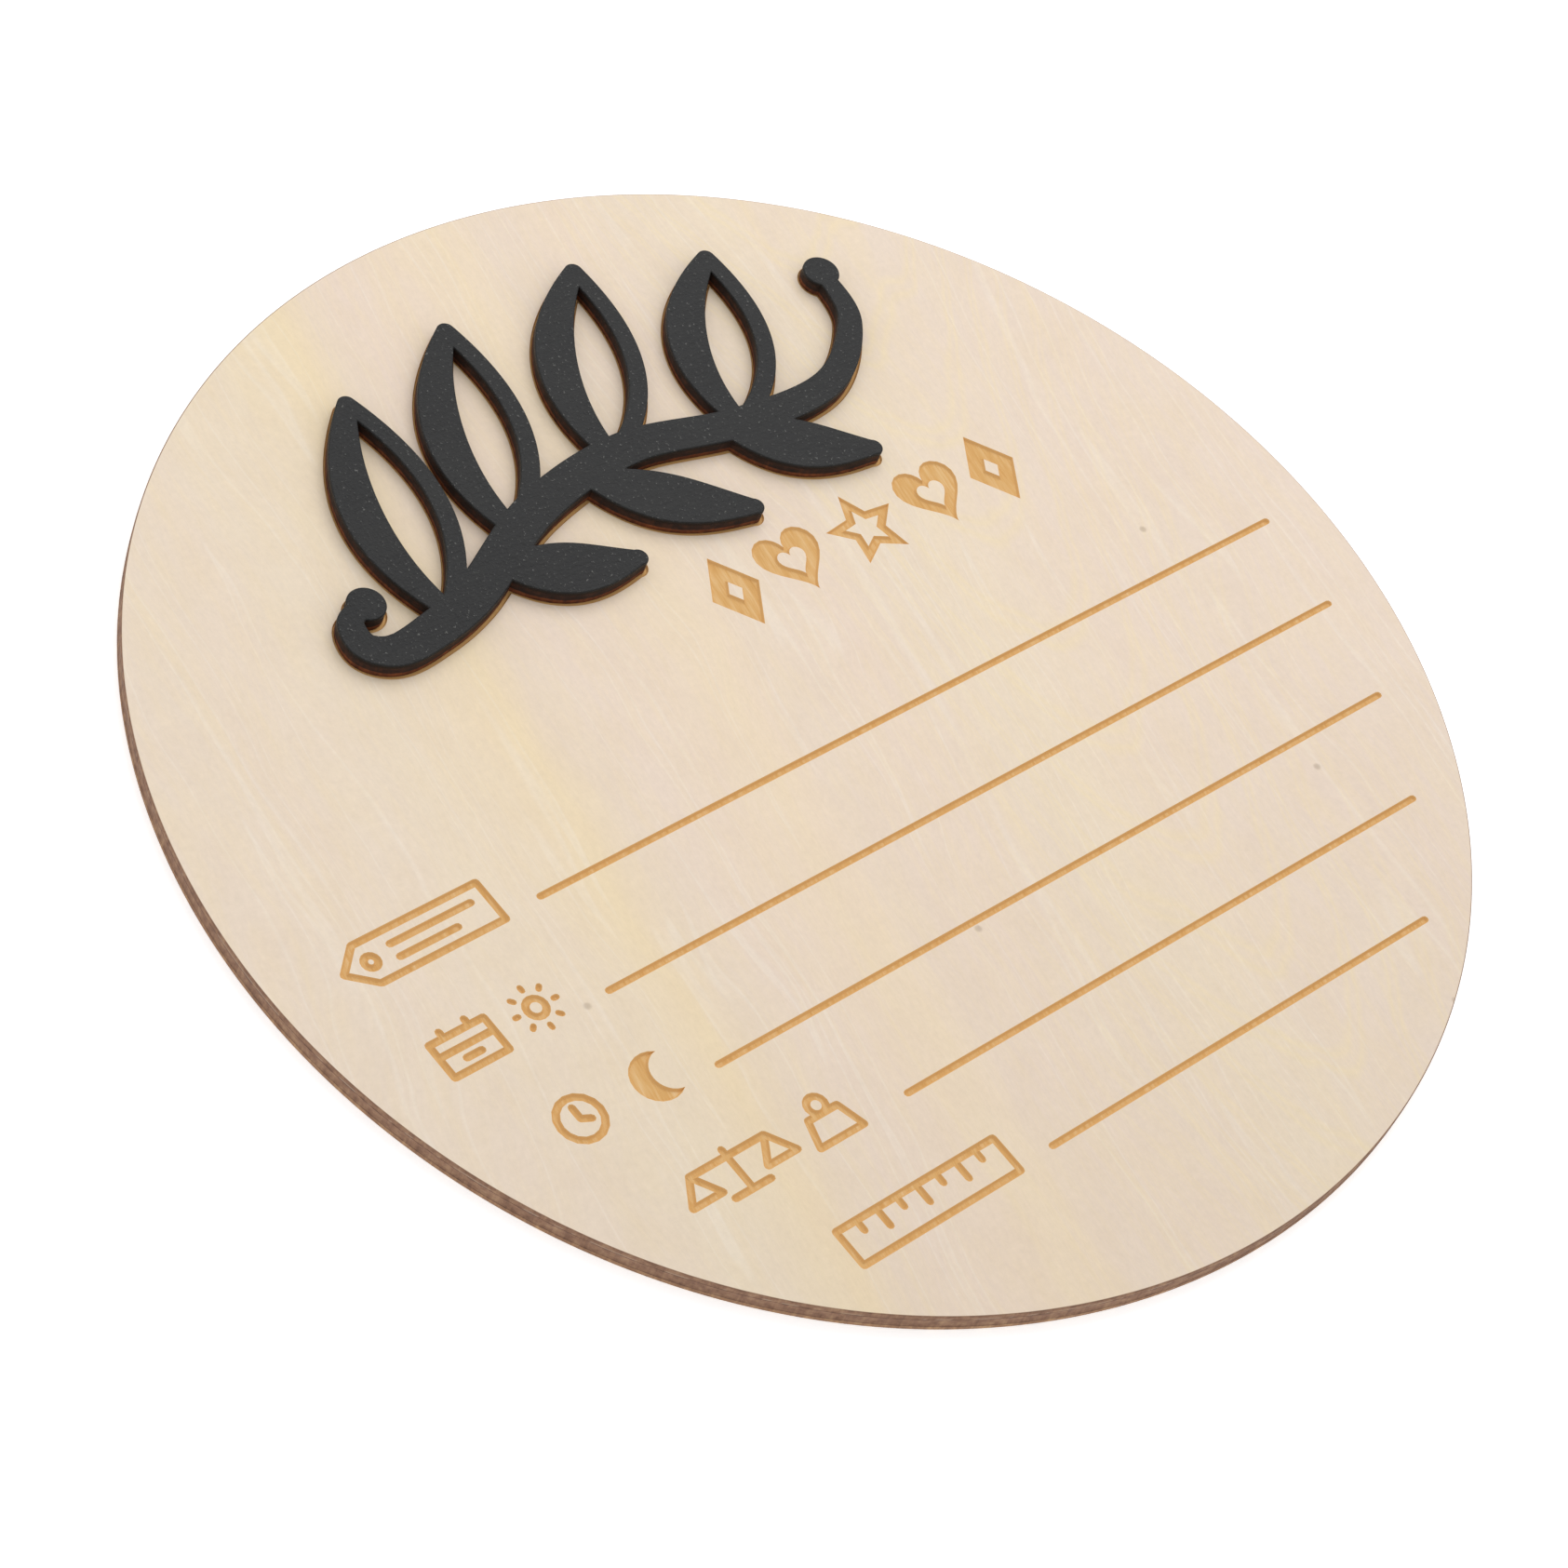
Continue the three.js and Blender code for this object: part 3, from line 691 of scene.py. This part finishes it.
def veneer_bands(tree, straight):
    """Bands, growth lines and soft patches on a place that wanders, and that place."""
    wander = swing(tree, grain(tree, straight, 30, 85), 7.0)
    drift = swing(tree, grain(tree, straight, 9, 30, shift=7), 2.0)
    aside = add(tree, "CombineXYZ", {0: math_of(tree, "ADD", wander, drift)}).outputs[0]
    place = add(tree, "VectorMath", {0: straight, 1: aside}, operation="ADD").outputs[0]
    across, along, _ = add(tree, "SeparateXYZ", {0: place}).outputs
    band_place = math_of(tree, "ADD", math_of(tree, "DIVIDE", across, BAND_SPAN), 0.5)
    colour = ramp(tree, band_place, BANDS)

    # Growth lines, curved in the tongue and straight elsewhere, and then thin pale seams.
    waver = swing(tree, grain(tree, straight, 14, 50, 3, shift=2), 9.0)
    tongue = growth_tongue(tree, across, along, waver)
    colour = overlaid(tree, colour, tongue, [(0.0, 0.0), (1.0, 1.0)], 0.34, "#F6E2AE")
    colour = overlaid(tree, colour, grain(tree, place, 2.6, 200, 3, 0.6, shift=11),
                      [(0.0, 0.0), (0.56, 0.0), (0.70, 1.0)], 0.26, "#F4E0B4")
    colour = overlaid(tree, colour, grain(tree, place, 6, 240, 2, 0.45, shift=6),
                      [(0.0, 0.0), (0.50, 0.0), (0.506, 1.0), (0.520, 0.0),
                       (0.60, 0.0), (0.606, 1.0), (0.620, 0.0)], 0.30, "#F9F0E2")

    # Soft patches: a pink blush, butter yellow, and a light brown mottle.
    colour = overlaid(tree, colour, grain(tree, place, 11, 70, 3, 0.6, shift=4),
                      [(0.35, 0.0), (0.75, 1.0)], 0.20, "#EDD3C3")
    colour = overlaid(tree, colour, grain(tree, place, 1.5, 11, 3, 0.65, shift=9),
                      [(0.40, 0.0), (0.70, 1.0)], 0.26, "#F3DEB4")
    colour = overlaid(tree, colour, grain(tree, place, 4, 7, 3, 0.65, shift=1),
                      [(0.40, 0.0), (0.75, 1.0)], 0.18, "#DFC8AC")
    return colour, place, along


# %% Fibres, pores and flecks
FLECK_MESH = 24.0  # mm
FLECKED_SHARE = 0.22  # share of the meshes that have a fleck


def veneer_figure(tree):
    """Colour of the bare veneer, the height of its surface, and its fibres."""
    straight = wood_place(tree)
    colour, place, along = veneer_bands(tree, straight)

    # Fibres about a third of a millimetre wide, and pores, drawn twice as coarse as real ones.
    fibre = grain(tree, place, 0.36, 5.0, 3, 0.7)
    pore = grain(tree, place, 0.3, 1.3, 2, 0.6, shift=3)
    fuzz = grain(tree, place, 0.6, 0.8, 3, 0.75, shift=5)
    light = math_of(tree, "ADD", 1.0, swing(tree, fibre, 0.026))
    light = math_of(tree, "ADD", light, swing(tree, pore, 0.05))
    light = math_of(tree, "ADD", light, swing(tree, fuzz, 0.065))
    painted_shade_low_end = ramp(tree, math_of(tree, "ADD", math_of(tree, "DIVIDE", along, BAND_SPAN), 0.5),
                     [(0.0, 0.94), (0.45, 1.0)])  # painted shade: a little darker towards the sheet's lower end, where less light falls
    light = math_of(tree, "MULTIPLY", light, painted_shade_low_end)
    grey = add(tree, "CombineColor", {0: light, 1: light, 2: light}).outputs[0]
    colour = blended(tree, 1.0, colour, grey, "MULTIPLY")

    # Flecks: a dark dot in about one mesh out of five of a loose net.
    flat = add(tree, "Mapping", {"Vector": straight, "Scale": (1 / FLECK_MESH, 1 / FLECK_MESH, 0)})
    net = add(tree, "TexVoronoi", {"Vector": flat.outputs[0], "Scale": 1.0},
              voronoi_dimensions="2D")
    any_number = add(tree, "SeparateXYZ", {0: net.outputs["Color"]}).outputs[0]
    chosen = math_of(tree, "LESS_THAN", any_number, FLECKED_SHARE)
    dot = ramp(tree, net.outputs["Distance"], [(0.0, 1.0), (0.012, 0.8), (0.022, 0.0)])
    fleck = math_of(tree, "MULTIPLY", math_of(tree, "MULTIPLY", dot, chosen), 0.42)
    colour = blended(tree, fleck, colour, linear("#8E7A66"))
    height = math_of(tree, "ADD", fibre, math_of(tree, "ADD", pore, fuzz))
    return colour, height, fibre


def bumped(tree, surface, height, depth_mm, strength):
    """Links a height from 0 to 1 to the shader as a bump of that depth."""
    bump = {"Height": height, "Distance": depth_mm * MM, "Strength": strength}
    tree.links.new(add(tree, "Bump", bump).outputs[0], surface.inputs["Normal"])


# %% Basswood veneer, sanded and bare
# A fine sanding leaves peeled basswood nearly matt, with a trace more gloss on the hard fibres.
def basswood_veneer():
    """Peeled basswood: cream, almost matt, fibres a few hundredths of a millimetre deep."""
    material, tree, surface = shader("basswood_veneer_sanded", 0.62, Specular_IOR_Level=0.35)
    colour, height, fibre = veneer_figure(tree)
    tree.links.new(colour, surface.inputs["Base Color"])
    gloss = ramp(tree, fibre, [(0.25, 0.56), (0.75, 0.70)])
    tree.links.new(gloss, surface.inputs["Roughness"])
    bumped(tree, surface, height, 0.012, 0.5)
    return material


veneer_finish = told(basswood_veneer())

# %% [markdown]
# ## Laser-engraved wood
# In a groove the beam has taken the pale surface off and toasted what is left: an even caramel,
# lighter where the hard late wood of each year resisted. The walls turn away from the light, so
# their colour is painted lighter than the floor: painted light that offsets the shade they stand
# in. The floor is rougher than the face, and faintly ribbed by the beam's passes.

# %% Laser-engraved basswood
BEAM_STEP = 0.25  # mm between passes; the real ones are nearer 0.1, too fine to show


def engraved_basswood():
    """Toasted wood: streaked caramel on the floor, quite matt; the wall an even colour painted
    lighter, as painted light against its shade.
    """
    material, tree, surface = shader("basswood_laser_engraved", 0.8, Specular_IOR_Level=0.25)
    place = wood_place(tree)
    streak = grain(tree, place, 0.45, 5.0, 3, 0.65, shift=5)
    patch = grain(tree, place, 3.0, 12.0, 2, 0.5, shift=8)
    floor_colour = ramp(tree, streak, [(0.22, "#CE9A58"), (0.46, "#DEAF6F"), (0.66, "#E8C189"),
                                       (0.8, "#EFD1A4")])
    patched = math_of(tree, "MULTIPLY", patch, 0.35)
    floor_colour = blended(tree, patched, floor_colour, linear("#D8A663"))
    toast = scorch_of(tree)
    unevenness = swing(tree, grain(tree, place, 0.8, 1.4), 0.12)
    rough_toast = math_of(tree, "ADD", toast, unevenness, clamp=True)
    # painted light: the wall's colour gets lighter as the scorch grows, to offset the shade on the
    # walls
    wall_painted_lighter = ramp(tree, rough_toast, [(0.0, "#DEAF6F"), (0.5, "#E0B171"), (1.0, "#E3B475")])
    amount = ramp(tree, toast, [(0.0, 0.0), (0.5, 1.0)])
    tree.links.new(blended(tree, amount, floor_colour, wall_painted_lighter), surface.inputs["Base Color"])
    passes = add(tree, "TexWave", {"Vector": wood_place(tree, 0.0), "Scale": 0.32 / BEAM_STEP,
                                   "Distortion": 0.6, "Detail": 1.0}, bands_direction="Y")
    height = math_of(tree, "ADD", streak, math_of(tree, "MULTIPLY", passes.outputs["Fac"], 0.25))
    tree.links.new(ramp(tree, streak, [(0.2, 0.88), (0.8, 0.72)]), surface.inputs["Roughness"])
    bumped(tree, surface, height, 0.035, 0.7)
    return material


engraved_finish = told(engraved_basswood())

# %% [markdown]
# ## Laser-charred edges
# Where the beam goes right through, it leaves a brown skin of char. It isn't even: each sheet's
# fibres end or run along the cut, soot gathers in spots, and a fine upright ribbing shows the
# beam's pulses. Handling rubs the char off the arrises, so the rim is lighter there.

# %% Charred plywood edge
SOOT_SPOTS = (0.85, 0.85, 1.15)  # to the millimetre in x, y and z: about 1.2 mm round
BEAM_RIBS = (3.2, 3.2, 0.26)  # 0.3 mm wide and 4 mm tall; real pulses are finer than shows


def speckle(tree, per_mm, detail, roughness):
    """Noise on Object coordinates, with so many spots to the millimetre each way."""
    place = add(tree, "TexCoord").outputs["Object"]
    scale = tuple(spots / MM for spots in per_mm)
    space = add(tree, "Mapping", {"Vector": place, "Scale": scale}).outputs[0]
    noise = {"Vector": space, "Scale": 1.0, "Detail": detail, "Roughness": roughness}
    return add(tree, "TexNoise", noise).outputs["Fac"]


def charred_edge(name, pale, middle, dark):
    """Char on a cut edge: mottled browns, upright ribs, and bare wood where scorch is nought."""
    material, tree, surface = shader(name, 0.78, Specular_IOR_Level=0.3)
    mottle = speckle(tree, SOOT_SPOTS, 4.0, 0.65)
    ribs = speckle(tree, BEAM_RIBS, 2.0, 0.6)
    tone = math_of(tree, "ADD", math_of(tree, "MULTIPLY", mottle, 0.7),
                   math_of(tree, "MULTIPLY", ribs, 0.3))
    char = ramp(tree, tone, [(0.32, dark), (0.50, middle), (0.66, pale)])
    bare, _, _ = veneer_figure(tree)
    rubbed = math_of(tree, "ADD", scorch_of(tree), swing(tree, mottle, 0.25), clamp=True)
    amount = ramp(tree, rubbed, [(0.0, 0.0), (0.3, 0.55), (0.75, 1.0)])
    tree.links.new(blended(tree, amount, bare, char), surface.inputs["Base Color"])
    tree.links.new(ramp(tree, ribs, [(0.3, 0.7), (0.7, 0.86)]), surface.inputs["Roughness"])
    bumped(tree, surface, tone, 0.05, 0.8)
    return material


# %% The five chars
# Wood chars greyish brown on the disc's rim and darker in its resin lines; the back is least
# burned. The sprig's thinner board is browner low down, and sooted and dusted with paint under
# its lip.
rim_finish = told(charred_edge("plywood_rim_charred", "#A58468", "#8C6A54", "#6E4F3E"))
line_finish = told(charred_edge("glue_line_charred", "#8A6A54", "#6D4F3E", "#4E382C"))
back_rim_finish = told(charred_edge("back_veneer_rim_charred", "#B8946F", "#9A7558", "#7C5A44"))
sprig_wall_finish = told(charred_edge("sprig_edge_charred", "#8A4F2C", "#6B3B22", "#40251A"))
sooted_finish = told(charred_edge("sprig_edge_sooted", "#4A2C1E", "#2F1D16", "#1C1412"))

# %% [markdown]
# ## Satin black paint
# The sprig was sprayed after it was cut. A thin coat of acrylic lies over the veneer: nearly black,
# satin, with the wood's fibres just telling through it and fine pale dust nibs. It fades into soot
# where the spray didn't reach, at the foot of the top sheet's edge.

# %% Black acrylic paint on veneer
def black_paint():
    """Satin acrylic: near black, IOR 1.49, fibres and nibs in the gloss and the bump."""
    material, tree, surface = shader("acrylic_paint_satin_black", 0.42, 1.49,
                                     Specular_IOR_Level=0.22)
    place = wood_place(tree, PAINT_LEAN)
    fibre = grain(tree, place, 0.5, 3.0, 3, 0.7)
    nib = grain(tree, place, 0.42, 0.42, 3, 0.7, shift=3)
    cloud = grain(tree, place, 9, 14)
    tone = math_of(tree, "ADD", math_of(tree, "MULTIPLY", fibre, 0.55),
                   math_of(tree, "MULTIPLY", cloud, 0.45))
    colour = ramp(tree, tone, [(0.3, "#171717"), (0.5, "#222222"), (0.7, "#2C2C2B")])
    colour = overlaid(tree, colour, nib, [(0.0, 0.0), (0.62, 0.0), (0.68, 1.0)], 0.50, "#8B8A86")
    soot = ramp(tree, scorch_of(tree), [(0.3, 0.0), (1.0, 1.0)])
    colour = blended(tree, soot, colour, linear("#24160F"))
    tree.links.new(colour, surface.inputs["Base Color"])
    tree.links.new(ramp(tree, tone, [(0.3, 0.36), (0.7, 0.52)]), surface.inputs["Roughness"])
    height = math_of(tree, "ADD", fibre, math_of(tree, "MULTIPLY", nib, 1.6))
    bumped(tree, surface, height, 0.09, 1.0)
    return material


paint_finish = told(black_paint())

# %% [markdown]
# ## Glue
# Clear wood glue has dried under the sprig: a slightly amber, glossy film. Little of it shows.

# %% Dried wood glue
def dried_glue():
    """PVA film: amber and clear over the wood, IOR 1.46, glossy with a pitted skin."""
    material, tree, surface = shader("wood_glue_dried", 0.3, 1.46)
    pits = grain(tree, wood_place(tree), 0.8, 1.1, 3, 0.6)
    amber = ramp(tree, pits, [(0.3, "#B98A52"), (0.7, "#D0A870")])
    tree.links.new(amber, surface.inputs["Base Color"])
    tree.links.new(ramp(tree, pits, [(0.3, 0.22), (0.7, 0.4)]), surface.inputs["Roughness"])
    bumped(tree, surface, pits, 0.02, 0.5)
    return material


glue_finish = told(dried_glue())

# %% [markdown]
# ## Finishes on their pieces
# Each piece rides on the part's one body and stands in for its CAD sheet, which is hidden. Its row
# also lists the slot of the record that its finish belongs to, which nothing here uses.

# %% Assign, ride, replace
PIECES = [
    (face_veneer, "disc_face_veneer", "pale_veneer", [veneer_finish, engraved_finish, rim_finish]),
    (upper_line, "disc_upper_glue_line", "scorched_glue", [line_finish] * 2),
    (core, "disc_core_veneer", "core_veneer", [rim_finish] * 2),
    (lower_line, "disc_lower_glue_line", "scorched_glue", [line_finish] * 2),
    (back_veneer, "disc_back_veneer", "pale_veneer", [veneer_finish, back_rim_finish]),
    (sprig_face, "sprig_face_veneer", "black_paint", [paint_finish] * 2),
    (sprig_upper, "sprig_upper_glue_line", "scorched_glue", [sooted_finish] * 2),
    (sprig_core, "sprig_core_veneer", "scorched_veneer", [sooted_finish] * 2),
    (sprig_lower, "sprig_lower_glue_line", "scorched_glue", [sprig_wall_finish] * 2),
    (sprig_back, "sprig_back_veneer", "scorched_veneer", [sprig_wall_finish] * 2),
    (glue_film, "sprig_adhesive", "clear_adhesive", [glue_finish] * 2),
]
for piece, node, slot, finishes in PIECES:
    for finish in finishes:
        piece.data.materials.append(finish)
    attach(piece, "root")
    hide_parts(node)
print(len(PIECES), "pieces,", len(bpy.data.materials), "materials")

# %% [markdown]
# ## Floor and light
# The sign lies on a plain white sheet under a soft tent: an even white surround, and one broad lamp
# from the upper right that gives the paint its sheen and the face its slow fall of light. The sheet
# glows a little, so that it stays white in the sign's own shade. The view transform is the plain
# one, so that a colour comes out as its hex value says.

# %% Floor
FLOOR_HALF = 3.0  # m
FLOOR_DROP = 0.02 * MM  # keeps the sheet clear of the sign's back
floor_mesh = bpy.data.meshes.new("floor")
floor_corners = [(x * FLOOR_HALF, y * FLOOR_HALF, -FLOOR_DROP)
                 for x, y in ((-1, -1), (1, -1), (1, 1), (-1, 1))]
floor_mesh.from_pydata(floor_corners, [], [(0, 1, 2, 3)])
floor = bpy.data.objects.new("floor", floor_mesh)
scene.collection.objects.link(floor)
paper, _, paper_surface = shader("white_paper_sheet", 0.9, Emission_Color=(1, 1, 1, 1),
                                 Emission_Strength=0.5)
paper_surface.inputs["Base Color"].default_value = linear("#F4F4F4")
floor_mesh.materials.append(paper)
print("floor", 2 * FLOOR_HALF, "m wide")

# %% Surround and lamp
LAMP_PLACE = Vector((0.42, 0.34, 0.62))  # m; the lamp faces the middle of the sign
surround = bpy.data.worlds.new("white_surround")
surround.use_nodes = True
surround.node_tree.nodes["Background"].inputs["Color"].default_value = (1, 1, 1, 1)
surround.node_tree.nodes["Background"].inputs["Strength"].default_value = 0.72
scene.world = surround
scene.view_settings.view_transform = "Standard"

lamp_data = bpy.data.lights.new("broad_lamp", "AREA")
lamp_data.shape = "DISK"
lamp_data.size = 0.7
lamp_data.energy = 2.6
lamp_data.color = (0.98, 0.985, 1.0)
lamp = bpy.data.objects.new("broad_lamp", lamp_data)
lamp.location = LAMP_PLACE
lamp.rotation_mode = "QUATERNION"
lamp.rotation_quaternion = (-LAMP_PLACE).to_track_quat("-Z", "Y")
scene.collection.objects.link(lamp)
print("lamp", round(LAMP_PLACE.length, 2), "m from the sign,", lamp_data.energy, "W")
